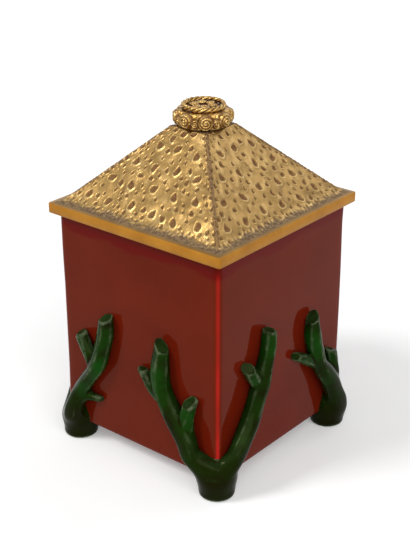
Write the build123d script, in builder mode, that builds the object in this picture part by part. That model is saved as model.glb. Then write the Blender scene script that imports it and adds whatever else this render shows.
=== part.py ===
"""Square covered box with a pitted pyramid lid, a rosette knob and four branch-shaped corner legs.

Millimetres. +Z is up, the origin is on the ground under the middle of the box, and the front faces -Y.
"""

from build123d import *
from math import cos, radians, sin, tan
import os

os.makedirs("parts", exist_ok=True)

# Box
foot_lift = 12.0  # height of the box's underside above the ground
body_side = 121.0
body_height = 136.0
wall = 6.0
floor_thickness = 7.0
corner_radius = 3.5  # upright outer corners
inner_corner_radius = 2.5
shoulder_bevel = 1.8  # outer top edge
underside_bevel = 1.0
lip_bevel = 0.8  # inner top edge

# Lid
rim_overhang = 4.1  # past the box's wall
rim_thickness = 6.2
rim_corner_radius = 1.2
rim_bevel = 0.5
roof_margin = 4.6  # flat strip between the rim's edge and the foot of the roof
roof_pitch = 44.0  # degrees, of each face
roof_wall = 6.0
cove_radius = 10.0  # where the roof flares into the margin
crown_side = 27.0  # flat square that carries the knob
crown_thickness = 9.0
pit_depth = 0.8
pit_outline = [(-2.1, 0.2), (-1.0, 1.6), (0.8, 1.4), (2.9, 0.1), (0.7, -1.3), (-1.2, -1.5)]
flange_depth = 9.0  # locating flange that drops into the box
flange_thickness = 4.0
lid_clearance = 0.6  # between the flange and the box's wall, on each side

# Knob
rosette_radius = 17.8  # over the lobes
rosette_height = 10.0
rosette_waist_radius = 16.2  # between the lobes
rosette_foot_bevel = 2.4
rosette_shoulder_bevel = 2.1
knob_sides = 36  # of the round forms
lobe_count = 8
lobe_radius = 4.5
lobe_lift = 0.7  # of the lobes above the crown
lobe_sides = 12
lobe_bevel = 1.2
ring_radius = 13.2  # over the rope
rope_thickness = 3.2
rope_bevel = 1.0
centre_radius = 9.4
centre_height = 2.9
centre_bevel = 1.4

# Fixing, from inside the lid
screw_diameter = 5.0
screw_reach = 8.0  # into the rosette
screw_head_diameter = 9.5
screw_head_height = 3.0
screw_slot_width = 1.2
screw_slot_depth = 1.3
washer_diameter = 16.0
washer_thickness = 1.2
screw_clearance = 0.5  # across the plain holes
thread_clearance = 0.1  # across the tapped hole

# Legs
foot_radius = 10.6  # at the ground, before the bevel
foot_flare = 3.0  # degrees, outward
foot_sides = 16
foot_bevel = 1.5
crotch_height = 6.0  # of the fork above the box's underside, at the corner
root_radius = 8.4
root_height = 10.5  # of each limb's first section above the ground
wall_hug = 0.9  # share of a limb's radius between its axis and the wall
limb_sides = 10
tip_bevel = 0.22  # share of a tip's radius

# Heights above the ground and half sides that follow
body_top = foot_lift + body_height
rim_top = body_top + rim_thickness
half_body = body_side / 2
half_rim = half_body + rim_overhang
half_roof = half_rim - roof_margin
half_flange = half_body - wall - lid_clearance
half_well = half_flange - flange_thickness
slope = tan(radians(roof_pitch))
face_length = (half_roof - crown_side / 2) / cos(radians(roof_pitch))  # up the slope
crown_top = rim_top + (half_roof - crown_side / 2) * slope
ceiling = crown_top - crown_thickness

# The main pits of one roof face, in rows about 16 mm apart, as (place along the face as a share of its half
# width there, place up the face as a share of its length, turn of the pit's point)
pits = [
    (-0.83, 0.17, 75), (-0.51, 0.15, 20), (-0.20, 0.18, 110), (0.11, 0.16, 60), (0.42, 0.14, 95),
    (0.74, 0.17, 130), (-0.78, 0.38, 50), (-0.41, 0.36, 100), (-0.04, 0.39, 35), (0.33, 0.36, 80),
    (0.70, 0.38, 120), (-0.72, 0.59, 85), (-0.25, 0.57, 45), (0.22, 0.60, 105), (0.69, 0.58, 70),
    (-0.58, 0.79, 115), (0.02, 0.80, 65), (0.60, 0.78, 90),
]

# Each limb of a branch as stations of (distance along the face from the box's corner, height above the
# box's underside, radius). A stem starts in the foot, and a twig inside its stem.
tall_stem = [(9.6, 6.4, 6.4), (17.5, 26.1, 4.9), (32.3, 48.2, 5.2), (38.5, 68.1, 4.8), (39.4, 80.8, 4.1)]
tall_twigs = [
    [(29.5, 43.0, 4.2), (25.5, 51.2, 4.3), (17.7, 64.2, 3.5)],
    [(12.8, 20.0, 3.2), (20.0, 21.4, 3.3), (32.5, 22.0, 2.2)],
]
hooked_stem = [(14.4, 12.5, 6.2), (19.6, 22.8, 6.2), (34.0, 42.5, 5.4), (38.8, 57.0, 5.5), (38.2, 77.0, 4.2)]
hooked_twigs = [
    [(33.0, 37.5, 3.4), (44.0, 45.5, 3.5), (54.5, 56.2, 2.4)],
    [(20.8, 25.0, 4.8), (19.6, 38.0, 4.2), (17.8, 47.4, 4.0)],
]
forked_stem = [(7.4, 12.6, 5.8), (21.3, 28.2, 5.6), (31.6, 48.5, 5.4), (39.0, 66.0, 4.6), (41.7, 82.7, 4.0)]
forked_twigs = [
    [(34.0, 48.5, 3.6), (30.0, 54.5, 3.9), (22.2, 65.7, 3.6)],
]
upright_stem = [(8.1, 2.5, 6.4), (17.9, 23.8, 6.3), (29.7, 41.7, 5.2), (35.8, 61.7, 4.8), (36.3, 74.5, 4.0)]
upright_twigs = [
    [(12.5, 15.0, 3.8), (11.2, 27.0, 4.0), (14.8, 44.0, 3.7)],
    [(28.5, 39.0, 3.6), (42.5, 48.3, 3.2), (51.2, 53.2, 2.7)],
]
slim_stem = [(12.0, 11.0, 5.2), (22.0, 24.0, 4.7), (34.0, 41.0, 4.5), (40.0, 57.0, 4.3), (41.0, 73.0, 3.7)]
slim_twigs = [
    [(36.0, 45.0, 3.4), (30.0, 55.0, 3.5), (26.5, 65.0, 3.2)],
]

# For each leg, its turn about the box's axis, its foot's middle and the branch left and right of its corner
legs = {
    "leg_front_right": (0, (4.5, 4.5), (hooked_stem, hooked_twigs), (forked_stem, forked_twigs)),
    "leg_back_right": (90, (8.0, 2.0), (upright_stem, upright_twigs), (slim_stem, slim_twigs)),
    "leg_back_left": (180, (4.5, 4.5), (hooked_stem, hooked_twigs), (tall_stem, tall_twigs)),
    "leg_front_left": (270, (3.5, 6.9), (slim_stem, slim_twigs), (tall_stem, tall_twigs)),
}


def on_face(side, along, up, radius):
    """A limb's axis point beside the near corner, on the face to its left (-1) or right (+1)."""
    out = half_body + wall_hug * radius
    back = half_body - along
    if side < 0:
        return Vector(back, -out, foot_lift + up)
    return Vector(out, -back, foot_lift + up)


def limb(corner, side, points, radii):
    """A tapering branch whose sections stand square to a smooth path, with a bevelled tip."""
    outward = Vector(0, -1, 0) if side < 0 else Vector(1, 0, 0)
    path = Spline(*points)
    with BuildPart() as branch:
        for point, radius in zip(points, radii):
            along = path % path.param_at_point(point)
            square = Plane(point, x_dir=along.cross(outward), z_dir=along)
            with BuildSketch(corner * square.location):
                RegularPolygon(radius, limb_sides)
        with BuildSketch(corner * square.offset(tip_bevel * radius).location):
            RegularPolygon((1 - tip_bevel) * radius, limb_sides)
        loft(ruled=True)
    return branch.part


def stem(corner, side, foot_middle, stations):
    """A branch's main limb, which grows out of the foot."""
    root = Vector(*foot_middle, root_height)
    points = [root] + [on_face(side, *station) for station in stations]
    return limb(corner, side, points, [root_radius] + [radius for along, up, radius in stations])


def twig(corner, side, stations):
    """A side shoot, whose first station lies inside its stem."""
    points = [on_face(side, *station) for station in stations]
    return limb(corner, side, points, [radius for along, up, radius in stations])


with BuildPart() as body_block:
    with BuildSketch(Plane.XY.offset(foot_lift)):
        RectangleRounded(body_side, body_side, corner_radius)
    extrude(amount=body_height)
    chamfer(body_block.edges().group_by(Axis.Z)[0], underside_bevel)
    chamfer(body_block.edges().group_by(Axis.Z)[-1], shoulder_bevel)

with BuildPart() as box_body:
    add(body_block.part)
    with BuildSketch(Plane.XY.offset(body_top)):
        RectangleRounded(body_side - 2 * wall, body_side - 2 * wall, inner_corner_radius)
    extrude(amount=floor_thickness - body_height, mode=Mode.SUBTRACT)
    mouth = box_body.faces().filter_by(Axis.Z).sort_by(Axis.Z)[-1]
    chamfer(mouth.inner_wires()[0].edges(), lip_bevel)

with BuildSketch(Plane.XZ) as roof_profile:
    with BuildLine():
        eave, crown = Vector(half_roof, rim_top), Vector(crown_side / 2, crown_top)
        FilletPolyline((half_rim, rim_top), eave, crown, radius=cove_radius)
        Line((crown_side / 2, crown_top), (0, crown_top))
        Line((0, crown_top), (0, rim_top))
        Line((0, rim_top), (half_rim, rim_top))
    make_face()
    mirror(about=Plane.YZ)

with BuildPart() as roof:
    extrude(roof_profile.sketch, amount=half_rim, both=True)
    extrude(roof_profile.sketch.rotate(Axis.Z, 90), amount=half_rim, both=True, mode=Mode.INTERSECT)

front_face = Plane(
    (0, -half_roof, rim_top), x_dir=(1, 0, 0), z_dir=(0, -sin(radians(roof_pitch)), cos(radians(roof_pitch)))
)
with BuildPart() as face_pits:
    with BuildSketch(front_face.offset(-pit_depth)):
        for across, up, turn in pits:
            half_width = half_roof - up * (half_roof - crown_side / 2)
            with Locations(Location((across * half_width, up * face_length, 0), (0, 0, turn))):
                Polygon(*pit_outline)
    extrude(amount=2 * pit_depth)

with BuildPart() as lid:
    with BuildSketch(Plane.XY.offset(body_top)):
        RectangleRounded(2 * half_rim, 2 * half_rim, rim_corner_radius)
    extrude(amount=rim_thickness)
    chamfer(lid.edges().group_by(Axis.Z)[-1] + lid.edges().group_by(Axis.Z)[0], rim_bevel)
    add(roof.part)
    with PolarLocations(0, 4):
        add(face_pits.part, mode=Mode.SUBTRACT)
    with BuildSketch(Plane.XY.offset(body_top)):
        RectangleRounded(2 * half_flange, 2 * half_flange, inner_corner_radius)
    extrude(amount=-flange_depth)
    well_top = rim_top + (half_roof - half_well) * slope - roof_wall / cos(radians(roof_pitch))
    with BuildSketch(Plane.XY.offset(body_top - flange_depth)):
        Rectangle(2 * half_well, 2 * half_well)
    extrude(amount=well_top - body_top + flange_depth, mode=Mode.SUBTRACT)
    with BuildSketch(Plane.XY.offset(well_top)):
        Rectangle(2 * half_well, 2 * half_well)
    extrude(amount=ceiling - well_top, taper=90 - roof_pitch, mode=Mode.SUBTRACT)
    with Locations((0, 0, crown_top)):
        Hole((screw_diameter + screw_clearance) / 2)

ring_seat = crown_top + rosette_height
with BuildPart() as knob_rosette:
    with BuildSketch(Plane.XY.offset(crown_top)):
        RegularPolygon(rosette_waist_radius, knob_sides)
    extrude(amount=rosette_height)
    chamfer(knob_rosette.edges().group_by(Axis.Z)[0], rosette_foot_bevel)
    chamfer(knob_rosette.edges().group_by(Axis.Z)[-1], rosette_shoulder_bevel)
    with BuildPart(mode=Mode.PRIVATE) as lobe:
        with BuildSketch(Plane.YZ):
            RegularPolygon(lobe_radius, lobe_sides)
        extrude(amount=rosette_radius)
        chamfer(lobe.edges().group_by(Axis.X)[-1], lobe_bevel)
    with Locations((0, 0, crown_top + lobe_lift + lobe_radius)):
        with PolarLocations(0, lobe_count):
            add(lobe.part)
    with Locations(Location((0, 0, crown_top), (180, 0, 0))):
        Hole((screw_diameter + thread_clearance) / 2, screw_reach + thread_clearance)

with BuildPart() as knob_rope_ring:
    with BuildSketch(Plane.XY.offset(ring_seat)):
        RegularPolygon(ring_radius, knob_sides)
        RegularPolygon(ring_radius - rope_thickness, knob_sides, mode=Mode.SUBTRACT)
    extrude(amount=rope_thickness)
    chamfer(knob_rope_ring.edges().group_by(Axis.Z)[-1], rope_bevel)

with BuildPart() as knob_centre:
    with BuildSketch(Plane.XY.offset(ring_seat)):
        RegularPolygon(centre_radius, knob_sides)
    extrude(amount=centre_height)
    chamfer(knob_centre.edges().group_by(Axis.Z)[-1], centre_bevel)

screw_face = ceiling - washer_thickness
with BuildPart() as knob_washer:
    with BuildSketch(Plane.XY.offset(screw_face)):
        Circle(washer_diameter / 2)
        Circle((screw_diameter + screw_clearance) / 2, mode=Mode.SUBTRACT)
    extrude(amount=washer_thickness)

with BuildPart() as knob_screw:
    with BuildSketch(Plane.XY.offset(screw_face)):
        Circle(screw_diameter / 2)
    extrude(amount=washer_thickness + crown_thickness + screw_reach)
    with BuildSketch(Plane.XY.offset(screw_face)):
        Circle(screw_head_diameter / 2)
    extrude(amount=-screw_head_height)
    with BuildSketch(Plane.XY.offset(screw_face - screw_head_height)):
        Rectangle(screw_head_diameter, screw_slot_width)
    extrude(amount=screw_slot_depth, mode=Mode.SUBTRACT)

pieces = {
    "box_body": box_body,
    "lid": lid,
    "knob_rosette": knob_rosette,
    "knob_rope_ring": knob_rope_ring,
    "knob_centre": knob_centre,
    "knob_washer": knob_washer,
    "knob_screw": knob_screw,
}

with BuildPart() as foot:
    with BuildSketch():
        RegularPolygon(foot_radius, foot_sides)
    extrude(amount=foot_lift + crotch_height, taper=-foot_flare)
    chamfer(foot.edges().group_by(Axis.Z)[0], foot_bevel)

for name, (turn, foot_inset, *branches) in legs.items():
    foot_middle = (half_body - foot_inset[0], foot_inset[1] - half_body)
    corner = Location((0, 0, 0), (0, 0, turn))
    limbs = []
    for side, (stem_stations, twigs) in zip((-1, 1), branches):
        limbs.append(stem(corner, side, foot_middle, stem_stations))
        limbs.extend(twig(corner, side, stations) for stations in twigs)
    with BuildPart() as leg:
        add(foot.part.moved(corner * Location((*foot_middle, 0))))
        add(limbs)
        add(body_block.part, mode=Mode.SUBTRACT)
    pieces[name] = leg

for name, piece in pieces.items():
    piece.part.label = name
    export_step(piece.part, f"parts/{name}.step")
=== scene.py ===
"""Looks of the square covered box: red glaze, gilt pitted lid, rosette knob and green branch legs.

Sizes are in millimetres and become metres where a mesh is made. -Y is the front.
"""

import math

import bmesh
import bpy
import numpy as np
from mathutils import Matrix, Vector


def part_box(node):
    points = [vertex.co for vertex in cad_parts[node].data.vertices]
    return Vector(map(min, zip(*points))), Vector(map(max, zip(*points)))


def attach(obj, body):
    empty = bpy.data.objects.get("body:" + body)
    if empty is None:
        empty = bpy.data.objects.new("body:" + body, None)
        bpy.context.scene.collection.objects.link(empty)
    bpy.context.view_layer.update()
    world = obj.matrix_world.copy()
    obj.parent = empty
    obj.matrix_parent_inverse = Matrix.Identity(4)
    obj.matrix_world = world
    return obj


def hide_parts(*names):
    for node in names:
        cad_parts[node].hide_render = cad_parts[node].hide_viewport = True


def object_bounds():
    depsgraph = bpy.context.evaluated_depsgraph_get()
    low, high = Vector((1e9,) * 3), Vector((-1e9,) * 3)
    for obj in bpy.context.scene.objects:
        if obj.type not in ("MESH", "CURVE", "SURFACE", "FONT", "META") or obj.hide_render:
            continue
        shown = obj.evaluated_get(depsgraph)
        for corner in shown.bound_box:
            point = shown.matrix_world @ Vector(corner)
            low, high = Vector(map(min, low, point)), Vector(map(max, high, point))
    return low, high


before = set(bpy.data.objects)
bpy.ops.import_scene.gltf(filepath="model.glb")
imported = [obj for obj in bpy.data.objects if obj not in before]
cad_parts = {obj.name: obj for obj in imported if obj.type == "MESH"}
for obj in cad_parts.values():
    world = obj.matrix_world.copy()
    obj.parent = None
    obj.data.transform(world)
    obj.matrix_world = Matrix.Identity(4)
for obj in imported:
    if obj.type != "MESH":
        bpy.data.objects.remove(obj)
cad_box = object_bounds()

MM = 0.001


def node_box(name):
    """A CAD node's lowest and highest corners in millimetres."""
    low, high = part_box(name)
    return np.array(low) / MM, np.array(high) / MM


# Box, from the frame
body_low, body_high = node_box("box_body")
half_body = body_high[0]
foot_lift = body_low[2]
body_top = body_high[2]
wall = 6.0
floor_thickness = 7.0
floor_bevel = 2
middle_half = 1.0  # half side of the smallest ring, at the middle of the underside and of the floor
corner_radius = 3.5
inner_corner_radius = 2.5
shoulder_radius = 0.7
underside_radius = 1.0
lip_radius = 0.8
body_wobble = 0.22  # hand-built walls are never quite flat
corner_highlight_band = (2.4, 1.2)  # distances from a wall's plane between which the painted highlight comes in at a corner
under_rim_shade_band = (9.5, 7.5)  # depths under the rim between which the painted shade comes in

# Lid
lid_low, lid_high = node_box("lid")
half_rim = lid_high[0]
rim_top = body_top + 6.2
rim_edge_radius = 0.5
rim_corner_radius = 1.2
roof_margin = 4.6
roof_pitch = math.radians(44)
cove_radius = 10.0
half_crown = 13.5
crown_top = lid_high[2]
roof_wall = 6.0
half_flange = half_body - wall - 0.6
half_well = half_flange - 4.0
flange_corner_radius = 2.0
ceiling = crown_top - 9.0
lid_columns = 200  # along each side
roof_rows = 108
roof_drop = 0.35  # of the surface between the pits, which leaves room for what stands proud
proud_limit = 0.25  # above the solid's roof
pit_depth = 0.85
pit_lip = 0.26  # raised edge round a pit
lump_height = 0.3  # of the ragged edge of the gilding, above the patina
patina_band = (7.2, 5.4)  # distances from the rim's edge between which the patina comes in
hip_width = 1.8  # of the stippled band along each hip
hip_depth = 0.3
face_seeds = (21, 8, 13, 34)
leaf_power = 1.4  # 2 would make the pits ellipses, and 1 diamonds
pit_tries = 7000  # on each face, for the pits between the main ones
pit_sizes = (1.0, 2.5)  # half lengths
pit_gap = 1.9
crowded_sizes = (0.8, 1.7)  # beside the hips and the foot of a face
crowded_gap = 1.2
main_pit_length = 2.9  # half the length, as in the solid
main_pit_width = 2.1
# The main pits of each face, as in the solid: shares of the half width and of the slope, and the turn
main_pits = [
    (-0.83, 0.17, 75), (-0.51, 0.15, 20), (-0.20, 0.18, 110), (0.11, 0.16, 60), (0.42, 0.14, 95),
    (0.74, 0.17, 130), (-0.78, 0.38, 50), (-0.41, 0.36, 100), (-0.04, 0.39, 35), (0.33, 0.36, 80),
    (0.70, 0.38, 120), (-0.72, 0.59, 85), (-0.25, 0.57, 45), (0.22, 0.60, 105), (0.69, 0.58, 70),
    (-0.58, 0.79, 115), (0.02, 0.80, 65), (0.60, 0.78, 90),
]

# Knob
rosette_low, rosette_high = node_box("knob_rosette")
ring_low, ring_high = node_box("knob_rope_ring")
centre_low, centre_high = node_box("knob_centre")
lobe_count = 8
lobe_radius = 4.7
waist_radius = 15.9  # between the lobes
curl_radius = 2.7  # of the small scrolls between the lobes
rope_strands = 3
rope_turns = 7  # of each strand round the ring's core
scroll_count = 6  # in the flower
scroll_middle = 5.4  # from the knob's axis
scroll_radius = 2.6

# Legs
foot_radius = 10.8
foot_top_radius = 13.0
foot_edge_radius = 2.2
foot_top_edge_radius = 5.0
crotch_height = 6.0
root_stations = [(4.0, 9.6), (13.5, 12.2)]  # height above the ground and radius of each limb inside the foot
wall_hug = 0.9
limb_swell = 1.02
glaze = 0.3  # added to each radius
facets = 5  # carved along each limb
voxel = 0.65
blend_rounds = 110  # of smoothing, each by these shares of the way to the neighbours' mean
limb_blend = 0.012
crotch_blend = 0.488  # more, low down, where the limbs grow out of the foot
crotch_fade = (42, 26)  # heights between which it comes in
# The limbs of each branch, as in the solids. A limb has stations of (distance along the face from the corner,
# height above the box's underside, radius), and the degrees that its cut end tilts outward and to the corner.
tall_branch = [
    ([(9.6, 6.4, 6.4), (17.5, 26.1, 4.9), (32.3, 48.2, 5.2), (38.5, 68.1, 4.8), (39.4, 80.8, 4.1)], (25, 10)),
    ([(29.5, 43.0, 4.2), (25.5, 51.2, 4.3), (17.7, 64.2, 3.6)], (20, -10)),
    ([(12.8, 20.0, 3.4), (20.0, 21.4, 3.4), (32.5, 22.0, 2.5)], (30, 0)),
]
hooked_branch = [
    (
        [(14.4, 12.5, 6.2), (19.6, 22.8, 6.2), (34.0, 42.5, 5.4), (38.8, 57.0, 5.5), (38.2, 77.0, 4.2)],
        (15, 42),
    ),
    ([(33.0, 37.5, 3.6), (44.0, 45.5, 3.6), (54.5, 56.2, 2.7)], (10, 45)),
    ([(20.8, 25.0, 4.8), (19.6, 38.0, 4.2), (17.8, 47.4, 4.0)], (35, -15)),
]
forked_branch = [
    ([(7.4, 12.6, 5.8), (21.3, 28.2, 5.6), (31.6, 48.5, 5.4), (39.0, 66.0, 4.6), (41.7, 82.7, 4.1)], (12, 0)),
    ([(34.0, 48.5, 3.6), (30.0, 54.5, 3.9), (22.2, 65.7, 3.6)], (40, 0)),
]
upright_branch = [
    (
        [(8.1, 2.5, 6.4), (17.9, 23.8, 6.3), (29.7, 41.7, 5.2), (35.8, 61.7, 4.8), (36.3, 74.5, 4.0)],
        (15, -40),
    ),
    ([(12.5, 15.0, 3.8), (11.2, 27.0, 4.0), (14.8, 44.0, 3.7)], (15, 30)),
    ([(28.5, 39.0, 3.6), (42.5, 48.3, 3.3), (51.2, 53.2, 2.8)], (25, 0)),
]
slim_branch = [
    (
        [(12.0, 11.0, 5.2), (22.0, 24.0, 4.7), (34.0, 41.0, 4.5), (40.0, 57.0, 4.3), (41.0, 73.0, 3.7)],
        (15, 30),
    ),
    ([(36.0, 45.0, 3.4), (30.0, 55.0, 3.5), (26.5, 65.0, 3.2)], (20, 0)),
]
# Each leg's turn round the box from the near corner in degrees, its foot's middle before that turn, and the
# branches on its left and its right face.
legs = {
    "front_right": (0, (56.0, -56.0), hooked_branch, forked_branch),
    "back_right": (90, (52.5, -58.5), upright_branch, slim_branch),
    "back_left": (180, (56.0, -56.0), hooked_branch, tall_branch),
    "front_left": (270, (57.0, -53.6), slim_branch, tall_branch),
}

# Camera, at the place it was worked out to have stood
camera_place = (437.3, -525.4, 416.0)
camera_azimuth = 39.71
camera_elevation = 24.49
camera_roll = -0.13
camera_lens = 81.56
camera_sensor = 36.0

# Light: each lamp's direction, strength and spread in degrees
lamps = {
    "key": ((-420, -700, 900), 1.3, 18),
    "fill": ((700, -480, 620), 1.35, 50),
    "back": ((300, 900, 850), 0.25, 24),
}
world_light = 0.36  # of the white surroundings on the object
floor_glow = 0.22  # brings the lit floor up to white in the picture
half_floor = 3000.0


def smooth_step(low, high, value):
    """0 below low, 1 above high and smooth between them."""
    share = np.clip((value - low) / (high - low), 0, 1)
    return share * share * (3 - 2 * share)


def wobble(points, wavelength, seed, waves=10):
    """Smooth noise of about unit height, as a sum of sine waves in random directions."""
    random = np.random.RandomState(seed)
    total = np.zeros(len(points))
    for _ in range(waves):
        direction = random.normal(size=points.shape[1])
        direction /= np.linalg.norm(direction)
        length = wavelength * random.uniform(0.6, 1.6)
        total += np.sin(points @ direction * 2 * math.pi / length + random.uniform(0, 2 * math.pi))
    return total / math.sqrt(waves / 2)


def dress_mesh(mesh, layers):
    """Smooth shading, and the values from 0 to 1 on a mesh's points that its material reads."""
    for key, values in layers.items():
        layer = mesh.attributes.new(key, "FLOAT", "POINT")
        layer.data.foreach_set("value", np.clip(values, 0, 1).astype(np.float32))
    mesh.polygons.foreach_set("use_smooth", [True] * len(mesh.polygons))


def make_piece(name, points, faces, material, layers=None):
    """A smooth-shaded mesh object from points in millimetres, with its faces turned outward."""
    mesh = bpy.data.meshes.new(name)
    mesh.from_pydata((np.asarray(points) * MM).tolist(), [], [list(face) for face in faces])
    mesh.validate()
    form = bmesh.new()
    form.from_mesh(mesh)
    bmesh.ops.recalc_face_normals(form, faces=form.faces)
    if form.calc_volume(signed=True) < 0:
        bmesh.ops.reverse_faces(form, faces=form.faces)
    form.to_mesh(mesh)
    form.free()
    dress_mesh(mesh, layers or {})
    mesh.materials.append(material)
    piece = bpy.data.objects.new(name, mesh)
    bpy.context.scene.collection.objects.link(piece)
    return piece


def ring_faces(rings, columns):
    """Quads between closed rings of equally many points."""
    row, column = np.meshgrid(np.arange(rings - 1), np.arange(columns), indexing="ij")
    following = (column + 1) % columns
    corners = (
        row * columns + column,
        (row + 1) * columns + column,
        (row + 1) * columns + following,
        row * columns + following,
    )
    return np.stack(corners, -1).reshape(-1, 4).tolist()


def closed_faces(rings, columns):
    """Quads between closed rings, and the faces that close the first and the last ring."""
    ends = [list(range(columns)), list(range((rings - 1) * columns, rings * columns))[::-1]]
    return ring_faces(rings, columns) + ends


def joined(parts):
    """Several sets of points and faces as one."""
    points = []
    faces = []
    base = 0
    for part_points, part_faces in parts:
        points.append(part_points)
        faces += [[base + index for index in face] for face in part_faces]
        base += len(part_points)
    return np.concatenate(points), faces


def round_angles(count):
    """Evenly spaced angles round a full turn."""
    return np.arange(count) * 2 * math.pi / count


def at_height(ring, height):
    """The points of a flat ring at a height, which is one number or one for each point."""
    return np.column_stack([ring, np.full(len(ring), height)])


def circle_ring(radius, height, angles):
    """Points round the upright axis. The radius and the height are one number or one for each angle."""
    return at_height(np.column_stack([radius * np.cos(angles), radius * np.sin(angles)]), height)


def cross_sections(ahead, up, sides):
    """Unit directions along a path and across it, and a unit circle of points square to each."""
    ahead = ahead / np.linalg.norm(ahead, axis=1)[:, None]
    across = np.cross(ahead, up)
    across /= np.linalg.norm(across, axis=1)[:, None]
    raised = np.cross(across, ahead)
    angles = round_angles(sides)[None, :, None]
    circles = np.cos(angles) * across[:, None, :] + np.sin(angles) * raised[:, None, :]
    return ahead, across, circles


def square_ring(half, radius, columns):
    """Points round a square with rounded corners, evenly spaced along each side, from its -X -Y corner."""
    along = -1 + 2 * np.arange(columns) / columns
    side = np.stack([along * half, np.full(columns, -half)], -1)
    points = []
    for turn in range(4):
        cosine, sine = math.cos(turn * math.pi / 2), math.sin(turn * math.pi / 2)
        points.append(side @ np.array([[cosine, sine], [-sine, cosine]]))
    points = np.concatenate(points)
    centre = np.sign(points) * (half - radius)
    reach = points - centre
    corner = np.all(np.abs(points) > half - radius, axis=1)
    length = np.linalg.norm(reach, axis=1)
    points[corner] = (centre + reach * radius / np.maximum(length, 1e-9)[:, None])[corner]
    return points


def rounded_ring(half, radius, side_steps, arc_steps):
    """Points round a square with true arcs at its corners, each side in equal steps."""
    points = []
    for turn in range(4):
        angle = turn * math.pi / 2
        cosine, sine = math.cos(angle), math.sin(angle)
        flat = half - radius
        quarter = [(-flat + 2 * flat * step / side_steps, -half) for step in range(side_steps)]
        for step in range(arc_steps):
            swing = math.pi / 2 * step / arc_steps
            quarter.append((flat + radius * math.sin(swing), -flat - radius * math.cos(swing)))
        points += [(cosine * x - sine * y, sine * x + cosine * y) for x, y in quarter]
    return np.array(points)


def arc(centre, radius, start, end, steps):
    """Profile points on an arc, angles in degrees from +X towards +Z."""
    angles = np.radians(np.linspace(start, end, steps + 1))
    return [(centre[0] + radius * math.cos(a), centre[1] + radius * math.sin(a)) for a in angles]


def runs(points, step):
    """A profile with extra points so that none lie further apart than step."""
    full = [points[0]]
    for start, end in zip(points, points[1:]):
        count = math.ceil(math.dist(start, end) / step - 1e-9)
        full += [tuple(np.add(start, np.subtract(end, start) * i / count)) for i in range(1, count + 1)]
    return full


def node(material, kind, settings=None, **inputs):
    """A shader node with its settings and its inputs, each a constant or another node's output.

    An input is given by its name, or by i and its number where several share a name.
    """
    tree = material.node_tree
    made = tree.nodes.new(kind)
    for key, value in (settings or {}).items():
        setattr(made, key, value)
    for key, value in inputs.items():
        by_number = key[0] == "i" and key[1:].isdigit()
        socket = made.inputs[int(key[1:]) if by_number else key.replace("_", " ")]
        if isinstance(value, bpy.types.NodeSocket):
            tree.links.new(value, socket)
        else:
            socket.default_value = value
    return made


def new_material(name, **constants):
    """A principled material with constants set on its shader's own sockets."""
    material = bpy.data.materials.new(name)
    material.use_nodes = True
    shader = material.node_tree.nodes["Principled BSDF"]
    for key, value in constants.items():
        shader.inputs[key.replace("_", " ")].default_value = value
    return material, shader


def drive(material, shader, **sockets):
    """Links node outputs to the shader's sockets."""
    for key, output in sockets.items():
        material.node_tree.links.new(output, shader.inputs[key.replace("_", " ")])


def noise_value(material, scale, detail=4.0, roughness=0.5):
    """Noise in the object's own coordinates."""
    place = node(material, "ShaderNodeTexCoord").outputs["Object"]
    made = node(material, "ShaderNodeTexNoise", Vector=place, Scale=scale, Detail=detail, Roughness=roughness)
    return made.outputs["Fac"]


def levels(material, value, low, high, bottom=0.0, top=1.0):
    """A value stretched from low..high to bottom..top."""
    made = node(
        material, "ShaderNodeMapRange", Value=value, From_Min=low, From_Max=high, To_Min=bottom, To_Max=top
    )
    return made.outputs["Result"]


def blend_colour(material, factor, first, second):
    """A mix of two colours, each a constant or an output."""
    made = node(material, "ShaderNodeMix", {"data_type": "RGBA"}, i0=factor, i6=first, i7=second)
    return made.outputs[2]


def attribute(material, name):
    """A value that the mesh carries on its points."""
    return node(material, "ShaderNodeAttribute", {"attribute_name": name}).outputs["Fac"]


def math_value(material, operation, first, second):
    """One arithmetic step, kept between 0 and 1."""
    settings = {"operation": operation, "use_clamp": True}
    return node(material, "ShaderNodeMath", settings, i0=first, i1=second).outputs[0]


def bump(material, height, strength, distance):
    """A normal from a height. The distance is in metres."""
    made = node(material, "ShaderNodeBump", Height=height, Strength=strength, Distance=distance)
    return made.outputs["Normal"]


def red_glaze():
    """Mirror-smooth red glaze, with a painted highlight down the rounded corners and painted shade under the
    lid.
    """
    plain_red = (0.118, 0.0085, 0.0022, 1)
    warm_red = (0.14, 0.0105, 0.003, 1)
    speckle_red = (0.06, 0.003, 0.0015, 1)
    under_rim_shade_red = (0.125, 0.0004, 0.0018, 1)
    corner_highlight_red = (0.50, 0.012, 0.012, 1)
    material, shader = new_material(
        "red_glaze", Roughness=0.03, Specular_IOR_Level=0.08, Specular_Tint=(1, 0.9, 0.4, 1)
    )
    shade = levels(material, noise_value(material, 38.0, detail=3.0), 0.3, 0.7)
    speckle = levels(material, noise_value(material, 900.0, detail=2.0), 0.62, 0.78)
    red = blend_colour(material, shade, plain_red, warm_red)
    red = blend_colour(material, math_value(material, "MULTIPLY", speckle, 0.25), red, speckle_red)
    # Painted shade under the rim.
    red = blend_colour(material, attribute(material, "under_rim_shade"), red, under_rim_shade_red)
    # Painted highlight down the corners.
    red = blend_colour(material, attribute(material, "corner_highlight"), red, corner_highlight_red)
    ripple = bump(material, noise_value(material, 16.0, detail=1.0), strength=0.2, distance=0.002)
    drive(material, shader, Base_Color=red, Normal=ripple)
    return material


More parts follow.
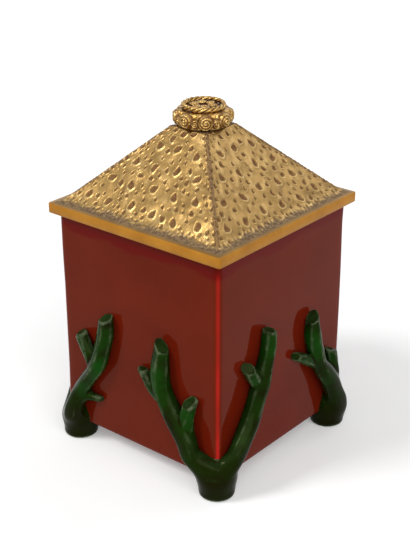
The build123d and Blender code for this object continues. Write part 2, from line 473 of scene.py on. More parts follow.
def green_glaze():
    """Deep green glaze: paler where it breaks over edges and cut tips, with a painted highlight there;
    painted light as vivid green on the upper sides and a pale wash on faces turned up; olive where it pools
    in creases, and painted shade low down.
    """
    dark_green = (0.0065, 0.0095, 0.0005, 1)
    moss_green = (0.0065, 0.026, 0.001, 1)
    side_light_green = (0.004, 0.058, 0.0035, 1)
    pool_and_shade_olive = (0.0065, 0.0062, 0.0004, 1)
    top_light_green = (0.022, 0.05, 0.013, 1)
    break_and_highlight_green = (0.10, 0.13, 0.07, 1)
    material, shader = new_material(
        "green_glaze", Roughness=0.07, Specular_IOR_Level=0.045, Specular_Tint=(1, 1, 0.5, 1)
    )
    edge, pool_and_shade, painted_top_light, painted_side_light = (attribute(material, key) for key in ("edge", "pool_and_shade", "painted_top_light", "painted_side_light"))
    drift = levels(material, noise_value(material, 60.0, detail=4.0), 0.35, 0.62)
    green = blend_colour(material, drift, dark_green, moss_green)
    # Painted light: vivid green on the upper limbs' sides.
    green = blend_colour(material, math_value(material, "MULTIPLY", painted_side_light, drift), green, side_light_green)
    # Olive where the glaze pools in creases, and painted shade low down on the leg.
    green = blend_colour(material, pool_and_shade, green, pool_and_shade_olive)
    patches = levels(material, noise_value(material, 120.0), 0.3, 0.7, 0.1, 0.6)
    # Painted light: a pale wash on faces turned up.
    green = blend_colour(material, math_value(material, "MULTIPLY", painted_top_light, patches), green, top_light_green)
    breaks_and_glints = levels(material, noise_value(material, 300.0), 0.35, 0.6, 0.1, 0.85)
    # Pale where the glaze breaks over edges and cut tips, and painted highlight there.
    green = blend_colour(material, math_value(material, "MULTIPLY", edge, breaks_and_glints), green, break_and_highlight_green)
    ripple = bump(material, noise_value(material, 90.0, detail=2.0), strength=0.1, distance=0.0008)
    drive(material, shader, Base_Color=green, Normal=ripple)
    return material


def gilt_lid():
    """Gilding with painted glints on the raised lips and lumps, brown pits, a grey-brown patina round the
    margin and an ochre rim.
    """
    dull_gold = (0.20, 0.12, 0.04, 1)
    rich_gold = (0.32, 0.20, 0.07, 1)
    bright_gold = (0.66, 0.46, 0.20, 1)
    pit_dark = (0.105, 0.04, 0.014, 1)
    pit_pale = (0.205, 0.088, 0.032, 1)
    patina_dark = (0.125, 0.076, 0.04, 1)
    patina_pale = (0.26, 0.172, 0.09, 1)
    ochre_dark = (0.36, 0.145, 0.01, 1)
    ochre_pale = (0.51, 0.22, 0.02, 1)
    inside_brown = (0.28, 0.2, 0.12, 1)
    material, shader = new_material("gilt_lid", Specular_IOR_Level=0.12)
    keys = ("pit", "proud", "patina", "rim", "inside")
    pit, proud, patina, rim, inside = (attribute(material, key) for key in keys)
    cloud = levels(material, noise_value(material, 60.0, detail=6.0, roughness=0.6), 0.3, 0.7)
    grain = noise_value(material, 700.0, detail=3.0)
    gold = blend_colour(material, cloud, dull_gold, rich_gold)
    # Painted glints: bright gold on the raised lips and lumps.
    gold = blend_colour(material, math_value(material, "MULTIPLY", proud, 0.7), gold, bright_gold)
    brown = blend_colour(material, levels(material, grain, 0.35, 0.65), pit_dark, pit_pale)
    grey = blend_colour(material, levels(material, grain, 0.4, 0.6), patina_dark, patina_pale)
    ochre = blend_colour(material, cloud, ochre_dark, ochre_pale)
    colour = blend_colour(material, pit, gold, brown)
    colour = blend_colour(material, patina, colour, grey)
    colour = blend_colour(material, rim, colour, ochre)
    colour = blend_colour(material, inside, colour, inside_brown)
    worn = math_value(material, "MAXIMUM", pit, patina)
    dull = math_value(material, "MAXIMUM", worn, inside)
    dull = math_value(material, "MAXIMUM", dull, rim)
    metal = math_value(material, "SUBTRACT", 1.0, dull)
    rough = levels(material, worn, 0, 1, 0.33, 0.55)
    grit = noise_value(material, 260.0, detail=3.0)
    unpainted = math_value(material, "SUBTRACT", 1.0, rim)
    height = math_value(material, "MULTIPLY", grit, unpainted)
    hammered = bump(material, height, strength=0.2, distance=0.0007)
    drive(material, shader, Base_Color=colour, Metallic=metal, Roughness=rough, Normal=hammered)
    return material


def gilt_knob():
    """Cast gilding, dark and brown in its recesses, as patina and painted shade."""
    dull_gold = (0.31, 0.165, 0.04, 1)
    bright_gold = (0.58, 0.38, 0.13, 1)
    patina_and_shade_brown = (0.11, 0.036, 0.008, 1)
    material, shader = new_material("gilt_knob")
    patina_and_shade = attribute(material, "patina_and_shade")
    cloud = levels(material, noise_value(material, 260.0, detail=4.0), 0.35, 0.65)
    gold = blend_colour(material, cloud, dull_gold, bright_gold)
    # Patina and painted shade in the recesses.
    colour = blend_colour(material, patina_and_shade, gold, patina_and_shade_brown)
    metal = levels(material, patina_and_shade, 0, 1, 1.0, 0.45)
    rough = levels(material, patina_and_shade, 0, 1, 0.2, 0.5)
    grit = bump(material, noise_value(material, 900.0), strength=0.3, distance=0.0004)
    drive(material, shader, Base_Color=colour, Metallic=metal, Roughness=rough, Normal=grit)
    return material


def steel():
    """Plain turned steel."""
    dark_steel = (0.45, 0.45, 0.47, 1)
    pale_steel = (0.62, 0.62, 0.64, 1)
    material, shader = new_material("steel", Metallic=1.0)
    grain = noise_value(material, 500.0)
    colour = blend_colour(material, grain, dark_steel, pale_steel)
    drive(material, shader, Base_Color=colour, Roughness=levels(material, grain, 0.3, 0.7, 0.25, 0.45))
    return material


def box_profile(inner):
    """Half side and height from under the middle, out, up, over the wall and down to the floor inside."""
    floor_top = foot_lift + floor_thickness
    flat_underside = half_body - underside_radius
    profile = [(middle_half, foot_lift), (flat_underside, foot_lift)]
    profile += arc((flat_underside, foot_lift + underside_radius), underside_radius, -90, 0, 3)
    profile += [(half_body, body_top - shoulder_radius)]
    profile += arc((half_body - shoulder_radius, body_top - shoulder_radius), shoulder_radius, 0, 90, 6)
    profile += arc((inner + lip_radius, body_top - lip_radius), lip_radius, 90, 180, 3)
    profile += [(inner, floor_top + floor_bevel), (inner - floor_bevel, floor_top), (middle_half, floor_top)]
    return runs(profile, 2.0)


def box_shell(material):
    """The open box, with soft shoulders, inside and out."""
    inner = half_body - wall
    rings = []
    for half, height in box_profile(inner):
        radius = min(corner_radius if half > inner + 1 else inner_corner_radius, 0.9 * half)
        rings.append(at_height(rounded_ring(half, radius, side_steps=30, arc_steps=10), height))
    columns = len(rings[0])
    points = np.concatenate(rings)
    height = points[:, 2]
    reach = np.abs(points[:, :2])
    outer = reach.max(axis=1) > inner + 1
    # Painted highlight down the rounded upright corners, fading out near the bottom and under the rim.
    highlight_from, highlight_full = (half_body - inset for inset in corner_highlight_band)
    corner_highlight = smooth_step(highlight_from, highlight_full, reach.min(axis=1)) * outer
    corner_highlight = corner_highlight * smooth_step(foot_lift, foot_lift + 9, height)
    corner_highlight *= smooth_step(body_top - 4, body_top - 13, height)
    corner_highlight *= 0.8 + 0.25 * wobble(points, 60.0, 12).clip(-1, 1)
    # Painted shade: a deep red band with a wavy lower edge under the lid's rim.
    under_rim_shade = smooth_step(*under_rim_shade_band, body_top - height + 1.3 * wobble(points, 45.0, 41)) * outer
    upright = smooth_step(foot_lift + 2, foot_lift + 20, height)
    upright *= smooth_step(body_top - 2, body_top - 14, height)
    inward = -body_wobble * (0.5 + 0.5 * wobble(points, 90.0, 3).clip(-1, 1)) * upright * outer
    outward = np.where(reach > half_body - corner_radius, np.sign(points[:, :2]), 0)
    points[:, :2] += outward * inward[:, None]
    faces = closed_faces(len(rings), columns)
    return make_piece("box_shell", points, faces, material, {"corner_highlight": corner_highlight, "under_rim_shade": under_rim_shade})


def pit_layout(seed, slope_length, face_foot):
    """One face's pits, the main ones first: place along and up, half length, half width, turn and taper."""
    random = np.random.RandomState(seed)
    half_roof = half_rim - roof_margin
    pits = []
    for across, up, turn in main_pits:
        half = half_roof - up * (half_roof - half_crown)
        place = (across * half, face_foot + up * slope_length)
        taper = random.uniform(0.35, 0.6)
        pits.append((*place, main_pit_length, main_pit_width, math.radians(turn), taper))
    for _ in range(pit_tries):
        up = random.uniform(0.03, 0.99) * slope_length
        half = half_roof + (half_crown - half_roof) * up / slope_length
        along = random.uniform(-1, 1) * half
        to_hip = half - abs(along)
        crowded = to_hip < 6 or up < 8
        size = random.uniform(*(crowded_sizes if crowded else pit_sizes))
        if to_hip < size * 0.7:
            continue
        place = up + face_foot
        gap = crowded_gap if crowded else pit_gap
        if any(math.hypot(along - a, place - u) < 0.95 * (size + s) + gap for a, u, s, *_ in pits):
            continue
        width = size * random.uniform(0.5, 0.95)
        turn = random.normal(1.2, 0.7)
        pits.append((along, place, size, width, turn, random.uniform(0.2, 0.9)))
    return pits


def pit_field(along, up, pits):
    """How deep in a pit and how far up a pit's raised edge each point of a face is, from 0 to 1.

    A pit is a leaf, wider behind than ahead, bent and notched by chance, with the higher lip downhill.
    """
    random = np.random.RandomState(5)
    depth = np.zeros(len(along))
    lip = np.zeros(len(along))
    for place, height, length, width, turn, taper in pits:
        reach = length * 2.2
        near = np.flatnonzero((np.abs(along - place) < reach) & (np.abs(up - height) < reach))
        x, y = along[near] - place, up[near] - height
        forward = x * math.cos(turn) + y * math.sin(turn)
        across = y * math.cos(turn) - x * math.sin(turn)
        across = across + 0.3 * width * np.sin(forward / length * 1.8 + random.uniform(0, 6))
        notch = random.uniform(-0.1, 0.2) * np.exp(-((across / (0.35 * width)) ** 2)) * (forward < 0)
        narrow = np.clip(1 - taper * forward / length, 0.2, 1.7)
        leaf = np.abs(forward / length) ** leaf_power + np.abs(across / (width * narrow)) ** leaf_power
        radial = leaf ** (1 / leaf_power) + notch
        round_way = np.arctan2(across, forward)
        radial *= 1 + random.uniform(0, 0.05) * np.sin(3 * round_way + random.uniform(0, 6))
        bowl = (1 - smooth_step(0.7, 1.0, radial)) * (0.8 + 0.2 * forward / length)
        depth[near] = np.maximum(depth[near], bowl)
        downhill = (0.5 * x - 0.85 * y) / np.maximum(np.hypot(x, y), 0.01)
        uneven = 0.3 + 0.8 * smooth_step(-0.3, 0.9, downhill)
        ridge = np.exp(-(((radial - 1.2) / 0.2) ** 2)) * uneven * random.uniform(0.6, 1.0)
        lip[near] = np.maximum(lip[near], ridge)
    return depth, lip


def roof_profile():
    """Half side and height from the crown down the slope, through the cove and out to the rim's edge.

    The third list is each point's distance from the rim's edge, along the profile.
    """
    half_roof = half_rim - roof_margin
    tangent = cove_radius * math.tan(roof_pitch / 2)
    slope_end = (half_roof - tangent * math.cos(roof_pitch), rim_top + tangent * math.sin(roof_pitch))
    cove_centre = (half_roof + tangent, rim_top + cove_radius)
    cove = arc(cove_centre, cove_radius, -90 - math.degrees(roof_pitch), -90, 24)
    edge = (half_rim - rim_edge_radius, rim_top)
    outline = np.array([(half_crown, crown_top), slope_end, *cove[1:], edge])
    lengths = np.linalg.norm(np.diff(outline, axis=0), axis=1)
    travelled = np.concatenate([[0], np.cumsum(lengths)])
    place = np.linspace(0, travelled[-1], roof_rows)
    half = np.interp(place, travelled, outline[:, 0])
    height = np.interp(place, travelled, outline[:, 1])
    return half, height, travelled[-1] - place


def pitted_roof():
    """The roof's points from the crown to the rim's edge, and what its material reads from them."""
    half, height, from_edge = roof_profile()
    columns = 4 * lid_columns
    rings = []
    for h, z in zip(half, height):
        corner = 0.5 + 0.7 * smooth_step(half_rim - 3, half_rim, h)
        rings.append(at_height(square_ring(h, corner, lid_columns), z))
    roof = np.concatenate(rings)
    side = np.tile(np.repeat(np.arange(4), lid_columns), roof_rows)
    row = np.repeat(np.arange(roof_rows), columns)
    share = np.tile(-1 + 2 * np.arange(lid_columns) / lid_columns, 4 * roof_rows)
    along = share * half[row]
    up = from_edge[row]
    to_hip = half[row] - np.abs(along)
    depth = np.zeros(len(roof))
    lip = np.zeros(len(roof))
    slope_length = (half_rim - roof_margin - half_crown) / math.cos(roof_pitch)
    face_foot = from_edge[0] - slope_length
    for face, seed in enumerate(face_seeds):
        chosen = np.flatnonzero(side == face)
        pits = pit_layout(seed, slope_length, face_foot)
        depth[chosen], lip[chosen] = pit_field(along[chosen], up[chosen], pits)
    tilt = np.arctan(-np.gradient(height, half))[row]
    outward = np.array([(0, -1), (1, 0), (0, 1), (-1, 0)])[side]
    normal = np.column_stack([outward * np.sin(tilt)[:, None], np.cos(tilt)])
    on_roof = smooth_step(4.0, 8.0, up) * smooth_step(0.0, 2.5, to_hip)
    dents = wobble(roof, 14.0, 4) * 0.10 + wobble(roof, 6.0, 9) * 0.03
    frill = wobble(np.column_stack([along, up * 0.6]), 2.6, 17)
    frayed = up + 0.9 * frill + 1.1 * wobble(roof, 11.0, 6)
    patina = smooth_step(*patina_band, frayed) * smooth_step(1.8, 3.0, up)
    ragged = smooth_step(3.0, 5.5, up) * smooth_step(9.5, 6.0, up)
    lumps = ragged * smooth_step(0.0, 1.2, frill) * smooth_step(0, 2, to_hip)
    stipple = smooth_step(-0.9, 0.5, wobble(np.column_stack([along, up]), 2.0, 31))
    hip = np.exp(-((to_hip / hip_width) ** 2)) * smooth_step(6, 12, up) * stipple
    push = -pit_depth * depth + pit_lip * lip * (1 - depth) + dents - roof_drop
    push = push * on_roof + lump_height * lumps
    push = np.minimum(push, proud_limit * smooth_step(4, 10, up))
    push -= hip_depth * hip
    roof = roof + normal * push[:, None]
    # Painted glints on the raised lips, in patches and on the lumps.
    painted_glint = 0.65 * lip + 0.25 * smooth_step(0.3, 1.6, wobble(roof, 7.0, 9))
    return roof, {
        "pit": depth * on_roof + hip,
        "proud": painted_glint * on_roof * (1 - depth) + 0.7 * lumps,
        "patina": np.maximum(patina, 0.8 * hip),
        "rim": smooth_step(1.6, 0.6, up) * 0.55,
        "inside": np.zeros(len(roof)),
    }


def lid_underside():
    """Half side, height, corner radius and paint, from the rim's top edge down and up into the hollow."""
    inner_rise = (half_rim - roof_margin - half_well) * math.tan(roof_pitch)
    well_top = rim_top + inner_rise - roof_wall / math.cos(roof_pitch)
    half_ceiling = half_well - (ceiling - well_top) / math.tan(roof_pitch)
    flange_low = lid_low[2]
    edge = rim_edge_radius
    rim = [
        (half_rim - edge * 0.3, rim_top - edge * 0.1),
        (half_rim, rim_top - edge),
        (half_rim, (rim_top + body_top) / 2),
        (half_rim, body_top + edge),
        (half_rim - edge, body_top),
    ]
    inside = [
        (half_flange, body_top),
        (half_flange, flange_low + 1),
        (half_flange - 0.8, flange_low),
        (half_well + 0.8, flange_low),
        (half_well, flange_low + 1),
        (half_well, well_top),
        (half_ceiling, ceiling),
        (4.0, ceiling),
    ]
    painted = [(*place, rim_corner_radius, 1.0) for place in rim]
    return painted + [(*place, flange_corner_radius, 0.0) for place in inside]


def lid_shell(material):
    """The hollow lid: pitted roof, flared margin, painted rim, locating flange and the space inside."""
    roof, layers = pitted_roof()
    columns = 4 * lid_columns
    bottom = lid_underside()
    lower = [at_height(square_ring(h, min(radius, 0.9 * h), lid_columns), z) for h, z, radius, _ in bottom]
    paint = np.repeat([painted for *_, painted in bottom], columns)
    lower_layers = {"rim": paint, "inside": 1 - paint}
    bare = np.zeros(len(paint))
    layers = {key: np.concatenate([values, lower_layers.get(key, bare)]) for key, values in layers.items()}
    faces = closed_faces(roof_rows + len(bottom), columns)
    return make_piece("lid_shell", np.concatenate([roof, *lower]), faces, material, layers)


def branch_path(stations, side, root=None):
    """A limb's centre line and radii, smooth through its stations, in the near corner's frame."""
    points = []
    radii = []
    if root:
        points += [(*root, height) for height, _ in root_stations]
        radii += [radius for _, radius in root_stations]
    for along, up, radius in stations:
        out = half_body + wall_hug * radius
        back = half_body - along
        points.append((back, -out, foot_lift + up) if side < 0 else (out, -back, foot_lift + up))
        radii.append(radius)
    points = np.array(points)
    radii = np.array(radii)
    padded = np.vstack([2 * points[0] - points[1], points, 2 * points[-1] - points[-2]])
    fine_points = []
    fine_radii = []
    for i in range(1, len(padded) - 2):
        before, start, end, after = padded[i - 1 : i + 3]
        bend = 2 * before - 5 * start + 4 * end - after
        twist = 3 * start - before - 3 * end + after
        for step in range(10):
            t = step / 10
            fine_points.append(0.5 * (2 * start + (end - before) * t + bend * t**2 + twist * t**3))
            fine_radii.append(radii[i - 1] + (radii[i] - radii[i - 1]) * t * t * (3 - 2 * t))
    fine_points.append(points[-1])
    fine_radii.append(radii[-1])
    return np.array(fine_points), np.array(fine_radii)


def tube(path, radii, outward, cut_tilt, sides=40):
    """A closed tube with carved facets, whose end is cut at a tilt."""
    ahead, across, circles = cross_sections(np.gradient(path, axis=0), outward, sides)
    facet = 2 * math.pi / facets
    drift = 0.5 * np.sin(np.linspace(0, 2.2, len(path)) + path[0, 2])
    swing = (round_angles(sides)[None, :] + drift[:, None]) % facet - facet / 2
    section = 0.5 + 0.5 * math.cos(facet / 2) / np.cos(swing) / 0.93
    rings = path[:, None, :] + (radii[:, None] * section)[:, :, None] * circles
    tilt_out, tilt_side = np.tan(np.radians(cut_tilt))
    cut = ahead[-1] + tilt_out * outward + tilt_side * across[-1]
    reach = rings[-1] - path[-1]
    rings[-1] -= ahead[-1] * (reach @ cut / (ahead[-1] @ cut))[:, None]
    return rings.reshape(-1, 3), closed_faces(len(path), sides)


def foot_form(middle, sides=48):
    """The stump that a leg stands on, wider where its branches part."""
    top = foot_lift + crotch_height
    edge, top_edge = foot_edge_radius, foot_top_edge_radius
    profile = [(0.05, 0.0), (foot_radius - edge, 0.0)]
    profile += arc((foot_radius - edge, edge), edge, -90, 0, 6)
    profile += [(foot_top_radius, top - top_edge)]
    profile += arc((foot_top_radius - top_edge, top - top_edge), top_edge, 0, 90, 5)
    profile += [(0.05, top)]
    rings = [circle_ring(radius, height, round_angles(sides)) for radius, height in runs(profile, 2.5)]
    return np.concatenate(rings) + np.array([*middle, 0]), ring_faces(len(rings), sides)


def apply_modifiers(piece):
    """The piece's mesh with its modifiers applied, which are then removed."""
    graph = bpy.context.evaluated_depsgraph_get()
    made = bpy.data.meshes.new_from_object(piece.evaluated_get(graph))
    piece.modifiers.clear()
    old = piece.data
    piece.data = made
    bpy.data.meshes.remove(old)


def drop_crumbs(mesh, fewest=100):
    """Deletes the tiny closed bits that a remesh can leave beside a form."""
    form = bmesh.new()
    form.from_mesh(mesh)
    crumbs = []
    seen = set()
    for first in form.verts:
        if first in seen:
            continue
        seen.add(first)
        island = [first]
        for vertex in island:
            for edge in vertex.link_edges:
                other = edge.other_vert(vertex)
                if other not in seen:
                    seen.add(other)
                    island.append(other)
        if len(island) < fewest:
            crumbs += island
    bmesh.ops.delete(form, geom=crumbs, context="VERTS")
    form.to_mesh(mesh)
    form.free()


def mesh_rows(values, key):
    """A vector for each of a mesh's points, as rows."""
    flat = np.empty(len(values) * 3)
    values.foreach_get(key, flat)
    return flat.reshape(-1, 3)


def smoothed(mesh, points, rounds, weight=1.0):
    """Points drawn towards the mean of their neighbours, as far as their weights say."""
    edges = np.empty(len(mesh.edges) * 2, dtype=np.int64)
    mesh.edges.foreach_get("vertices", edges)
    ends = np.concatenate([edges[0::2], edges[1::2]])
    others = np.concatenate([edges[1::2], edges[0::2]])
    count = np.maximum(np.bincount(ends, minlength=len(points)), 1)
    for _ in range(rounds):
        total = [np.bincount(ends, weights=points[others, axis], minlength=len(points)) for axis in range(3)]
        points = points + weight * (np.stack(total / count, -1) - points)
    return points


def branch_leg(name, turn, foot_middle, left_branch, right_branch, material):
    """One leg as a single glazed form, seated against the box's walls and underside."""
    parts = [foot_form(foot_middle)]
    for side, branch in ((-1, left_branch), (1, right_branch)):
        outward = np.array([0.0, -1.0, 0.0]) if side < 0 else np.array([1.0, 0.0, 0.0])
        for order, (stations, cut) in enumerate(branch):
            path, radii = branch_path(stations, side, None if order else foot_middle)
            parts.append(tube(path, radii * limb_swell + glaze, outward, (cut[0], cut[1] * -side)))
    points, faces = joined(parts)
    cosine, sine = math.cos(math.radians(turn)), math.sin(math.radians(turn))
    spin = np.array([[cosine, sine, 0], [-sine, cosine, 0], [0, 0, 1]])
    piece = make_piece(name, points @ spin, faces, material)
    remesh = piece.modifiers.new("remesh", "REMESH")
    remesh.mode = "VOXEL"
    remesh.voxel_size = voxel * MM
    soften = piece.modifiers.new("soften", "SMOOTH")
    soften.factor = 0.5
    soften.iterations = 4
    apply_modifiers(piece)
    mesh = piece.data
    drop_crumbs(mesh)
    points = mesh_rows(mesh.vertices, "co") / MM
    normals = mesh_rows(mesh.vertex_normals, "vector")
    lifted = smooth_step(1, 6, points[:, 2])
    blended = limb_blend + crotch_blend * smooth_step(*crotch_fade, points[:, 2]) * lifted
    points = smoothed(mesh, points, blend_rounds, blended[:, None])
    points += normals * (wobble(points, 24.0, turn + 2) * 0.2 * lifted)[:, None]
    seat_on_box(points)
    keep_in_box(points)
    mesh.vertices.foreach_set("co", (points * MM).ravel())
    proud = np.einsum("ij,ij->i", points - smoothed(mesh, points, 3), normals)
    # Painted highlight on edges and tips, painted light on the upper sides and on faces turned up, and
    # painted shade low down and in creases, where the glaze also pools.
    dress_mesh(mesh, {
        "edge": smooth_step(0.035, 0.12, proud),
        "painted_side_light": smooth_step(28, 60, points[:, 2]) * smooth_step(0.6, -0.4, normals[:, 2]),
        "pool_and_shade": smooth_step(-0.01, -0.06, proud) + 0.8 * smooth_step(34, 10, points[:, 2]),
        "painted_top_light": smooth_step(0.25, 0.75, normals[:, 2]),
    })
    mesh.update()
    return piece


def seat_on_box(points):
    """Moves points that lie inside the box's outline out to its nearest wall or its underside."""
    inside_x = half_body - np.abs(points[:, 0])
    inside_y = half_body - np.abs(points[:, 1])
    above = points[:, 2] - foot_lift
    inside = (inside_x > 0) & (inside_y > 0) & (above > 0)
    nearest = np.argmin(np.stack([inside_x, inside_y, above]), axis=0)
    for axis in (0, 1):
        moved = inside & (nearest == axis)
        points[moved, axis] = np.sign(points[moved, axis]) * half_body
    points[inside & (nearest == 2), 2] = foot_lift


def keep_in_box(points, margin=1.5):
    """Eases points that would pass the solids' box back inside it, and sets the feet flat on the ground."""
    low, high = (np.array(corner) / MM for corner in cad_box)
    for axis in (0, 1):
        for sign, limit in ((1, high[axis]), (-1, -low[axis])):
            over = sign * points[:, axis] - (limit - margin)
            eased = sign * (limit - margin * np.exp(-np.maximum(over, 0) / margin))
            points[:, axis] = np.where(over > 0, eased, points[:, axis])
    points[:, 2] = np.maximum(points[:, 2], 0.0)


def rosette(material):
    """The knob's cast rosette: a barrel with a large scroll on each lobe and a small one between."""
    columns, rows = 480, 64
    barrel_bulge = 3.0
    coil_height = 0.32
    groove_depth = 0.45
    leaf_height = 0.25
    grain_height = 0.09
    low, high = rosette_low[2], rosette_high[2]
    radius = rosette_high[0]
    angle = round_angles(columns)
    turn, level = np.meshgrid(angle, np.linspace(low + 0.02, high, rows))
    turn, level = turn.ravel(), level.ravel()
    share = (level - low) / (high - low)
    core = waist_radius - barrel_bulge + barrel_bulge * np.sqrt(1 - np.abs(2 * share - 1) ** 4)
    step = 2 * math.pi / lobe_count
    relief = np.zeros(len(turn))
    patina_and_shade = np.zeros(len(turn))
    big = (0.0, (low + high) / 2, lobe_radius, radius - waist_radius - 0.1, 1.75)
    small = (step / 2, low + 0.42 * (high - low), curl_radius, 0.9, 1.25)
    for phase, middle, size, tall, pitch in (small, big):
        swing = (turn + phase + step / 2) % step - step / 2
        hand = np.where(np.round((turn + phase - swing) / step).astype(int) % 2 == 0, 1, -1)
        side_way, up_way = swing * radius * 0.95, level - middle
        away = np.hypot(side_way, up_way)
        dome = tall * np.sqrt(np.clip(1 - (away / size) ** 2, 0, 1))
        coil = np.cos(hand * np.arctan2(up_way, side_way) - away * 2 * math.pi / pitch)
        on = smooth_step(size, size - 0.5, away)
        scroll = dome + coil_height * coil * on
        relief = np.where(away < size, np.maximum(relief, 0) * (1 - on) + scroll * on, relief)
        # Brown in the troughs of the scrolls and in the grooves round them: patina and painted shade.
        patina_and_shade = patina_and_shade * (1 - on) + on * smooth_step(0.0, -0.8, coil)
        groove = np.exp(-(((away - size - 0.2) / 0.4) ** 2))
        relief -= groove_depth * groove * (away >= size)
        patina_and_shade = np.maximum(patina_and_shade, groove)
    relief += leaf_height * (np.cos(turn * 5 * lobe_count) * smooth_step(0.72, 0.9, share))
    relief += grain_height * wobble(circle_ring(core, level, turn), 1.9, 77)
    outline = np.minimum(core + relief, radius - 0.02)
    # Painted shade round the foot of the rosette.
    patina_and_shade = np.maximum(patina_and_shade, smooth_step(0.14, 0.0, share))
    cap = [circle_ring(outline[-columns:] * (1 - shrink / 5), high - 0.01, angle) for shrink in range(1, 5)]
    points = np.concatenate([circle_ring(outline, level, turn), *cap])
    faces = closed_faces(rows + len(cap), columns)
    dark = np.concatenate([patina_and_shade * 0.85, np.full(columns * len(cap), 0.85)])
    return make_piece("rosette_cast", points, faces, material, {"patina_and_shade": dark})


def rope_ring(material):
    """A ring of twisted strands."""
    steps, sides = 420, 10
    thick = ring_high[2] - ring_low[2]
    strand_offset = 0.255 * thick
    strand_radius = 0.24 * thick
    middle = ring_high[0] - thick / 2
    level = (ring_low[2] + ring_high[2]) / 2
    around = round_angles(steps)
    core = circle_ring(middle, level, around)
    closed = [[index % (steps * sides) for index in face] for face in ring_faces(steps + 1, sides)]
    parts = []
    shade = []
    for strand in range(rope_strands):
        twist = around * rope_turns + strand * 2 * math.pi / rope_strands
        radial = middle + strand_offset * np.cos(twist)
        path = circle_ring(radial, level + strand_offset * np.sin(twist), around)
        ahead = np.roll(path, -1, axis=0) - np.roll(path, 1, axis=0)
        *_, circles = cross_sections(ahead, (0, 0, 1), sides)
        rings = path[:, None, :] + strand_radius * circles
        parts.append((rings.reshape(-1, 3), closed))
        away = np.linalg.norm(rings - core[:, None, :], axis=2).reshape(-1)
        # Painted shade and patina between the strands.
        shade.append(smooth_step(0.46 * thick, 0.28 * thick, away))
    points, faces = joined(parts)
    return make_piece("rope_twist", points, faces, material, {"patina_and_shade": np.concatenate(shade)})


def flower(material):
    """Curled scrolls that rise from a hollow inside the rope ring, darkened by painted shade and patina."""
    columns, steps, sides = 96, 46, 8
    base = centre_low[2]
    tall = centre_high[2] - base
    radius = centre_high[0]
    profile = [(radius, 0.0), (radius, 0.8), (radius * 0.8, 0.9), (radius * 0.5, 0.7)]
    profile += [(radius * 0.2, 1.0), (0.05, 1.1)]
    hollow = np.concatenate([circle_ring(r, base + z, round_angles(columns)) for r, z in profile])
    parts = [(hollow, closed_faces(len(profile), columns))]
    # Painted shade and patina in the hollow.
    shade = [np.ones(len(hollow))]
    t = np.linspace(0, 1, steps)
    spin = t * 3.6 * math.pi
    coil = scroll_radius * (1 - 0.78 * t)
    x = scroll_middle + coil * np.cos(spin)
    y = coil * np.sin(spin)
    z = base + 1.3 + (tall - 2.15) * t
    thick = 0.78 - 0.2 * t
    for scroll in range(scroll_count):
        heading = scroll * 2 * math.pi / scroll_count + 0.3
        cosine, sine = math.cos(heading), math.sin(heading)
        path = np.column_stack([x * cosine - y * sine, x * sine + y * cosine, z])
        *_, circles = cross_sections(np.gradient(path, axis=0), (0, 0, 1), sides)
        rings = path[:, None, :] + thick[:, None, None] * circles
        parts.append((rings.reshape(-1, 3), closed_faces(steps, sides)))
        # Painted shade low on the scrolls, deep in the hollow.
        shade.append(smooth_step(base + 2.2, base + 1.2, rings[..., 2].reshape(-1)))
    points, faces = joined(parts)
    return make_piece("flower_curls", points, faces, material, {"patina_and_shade": np.concatenate(shade)})


def light_path(tree):
    """1 for the rays that should see plain white surroundings: camera, glossy and transmission."""
    path = tree.nodes.new("ShaderNodeLightPath")
    total = path.outputs["Is Camera Ray"]
    for name in ("Is Glossy Ray", "Is Transmission Ray"):
        step = tree.nodes.new("ShaderNodeMath")
        step.operation = "MAXIMUM"
        tree.links.new(total, step.inputs[0])
        tree.links.new(path.outputs[name], step.inputs[1])
        total = step.outputs[0]
    return total


def floor_piece():
    """A white floor that keeps the object's shadow."""
    material, shader = new_material(
        "white_floor", Roughness=0.9, Specular_IOR_Level=0.0, Emission_Color=(1, 1, 1, 1)
    )
    fine = levels(material, noise_value(material, 40.0), 0.3, 0.7)
    white = blend_colour(material, fine, (0.90, 0.90, 0.90, 1), (0.92, 0.92, 0.92, 1))
    drive(material, shader, Base_Color=white)
    seen = light_path(material.node_tree)
    glow = node(material, "ShaderNodeMath", {"operation": "MULTIPLY"}, i0=seen, i1=floor_glow)
    drive(material, shader, Emission_Strength=glow.outputs[0])
    corners = np.array([(-1, -1, 0), (1, -1, 0), (1, 1, 0), (-1, 1, 0)])
    piece = make_piece("floor", corners * half_floor, [(0, 1, 2, 3)], material)


def surroundings():
    """A white world to look at, which lights the object more gently."""
    world = bpy.data.worlds.new("world")
    bpy.context.scene.world = world
    world.use_nodes = True
    tree = world.node_tree
    background = tree.nodes["Background"]
    background.inputs["Color"].default_value = (1, 1, 1, 1)
    strength = tree.nodes.new("ShaderNodeMapRange")
    strength.inputs["To Min"].default_value = world_light
    strength.inputs["To Max"].default_value = 1.0
    tree.links.new(light_path(tree), strength.inputs["Value"])
    tree.links.new(strength.outputs["Result"], background.inputs["Strength"])


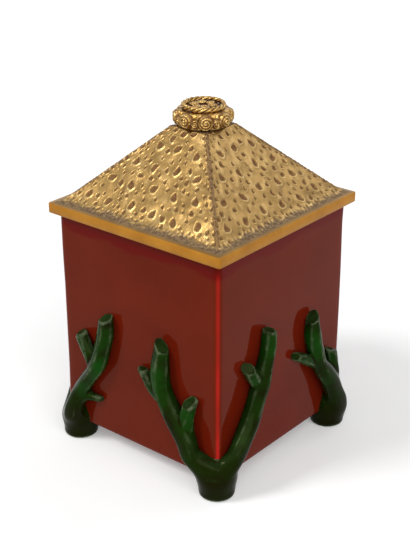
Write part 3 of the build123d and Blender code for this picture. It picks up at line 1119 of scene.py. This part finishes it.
def lamp(name, direction, strength, spread):
    """A distant lamp that shines from a direction, as soft as its spread in degrees."""
    data = bpy.data.lights.new(name, "SUN")
    data.energy = strength
    data.angle = math.radians(spread)
    made = bpy.data.objects.new(name, data)
    made.location = np.array(direction) * MM
    made.rotation_mode = "QUATERNION"
    made.rotation_quaternion = Vector(direction).to_track_quat("Z", "Y")
    bpy.context.scene.collection.objects.link(made)


def camera():
    """The photograph's camera."""
    data = bpy.data.cameras.new("camera")
    data.sensor_fit = "AUTO"
    data.sensor_width = camera_sensor
    data.lens = camera_lens
    made = bpy.data.objects.new("camera", data)
    made.location = np.array(camera_place) * MM
    made.rotation_mode = "XYZ"
    made.rotation_euler = (math.radians(90 - camera_elevation), 0, math.radians(camera_azimuth))
    made.rotation_euler.rotate_axis("Z", math.radians(camera_roll))
    bpy.context.scene.collection.objects.link(made)
    bpy.context.scene.camera = made


def dress():
    """Makes every piece and lists with it the body it moves with, the solid it stands for and its finish; it
    sets the piece on that body and hides that solid.
    """
    red, green, gilt, bright = red_glaze(), green_glaze(), gilt_lid(), gilt_knob()
    dressed = [
        (box_shell(red), "box", "box_body", "red_glaze"),
        (lid_shell(gilt), "lid", "lid", "gilt_glaze"),
        (rosette(bright), "lid", "knob_rosette", "gilt_brass"),
        (rope_ring(bright), "lid", "knob_rope_ring", "gilt_brass"),
        (flower(bright), "lid", "knob_centre", "gilt_brass"),
    ]
    for place, (turn, foot_middle, left_branch, right_branch) in legs.items():
        leg = branch_leg("branch_" + place, turn, foot_middle, left_branch, right_branch, green)
        dressed.append((leg, "box", "leg_" + place, "green_glaze"))
    for piece, body, solid, slot in dressed:
        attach(piece, body)
        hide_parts(solid)
    metal = steel()
    for name in ("knob_washer", "knob_screw"):
        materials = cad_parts[name].data.materials
        materials.clear()
        materials.append(metal)


camera()
surroundings()
floor_piece()
for lamp_name, (lamp_direction, lamp_strength, lamp_spread) in lamps.items():
    lamp(lamp_name, lamp_direction, lamp_strength, lamp_spread)
dress()
bpy.context.scene.view_settings.view_transform = "Standard"
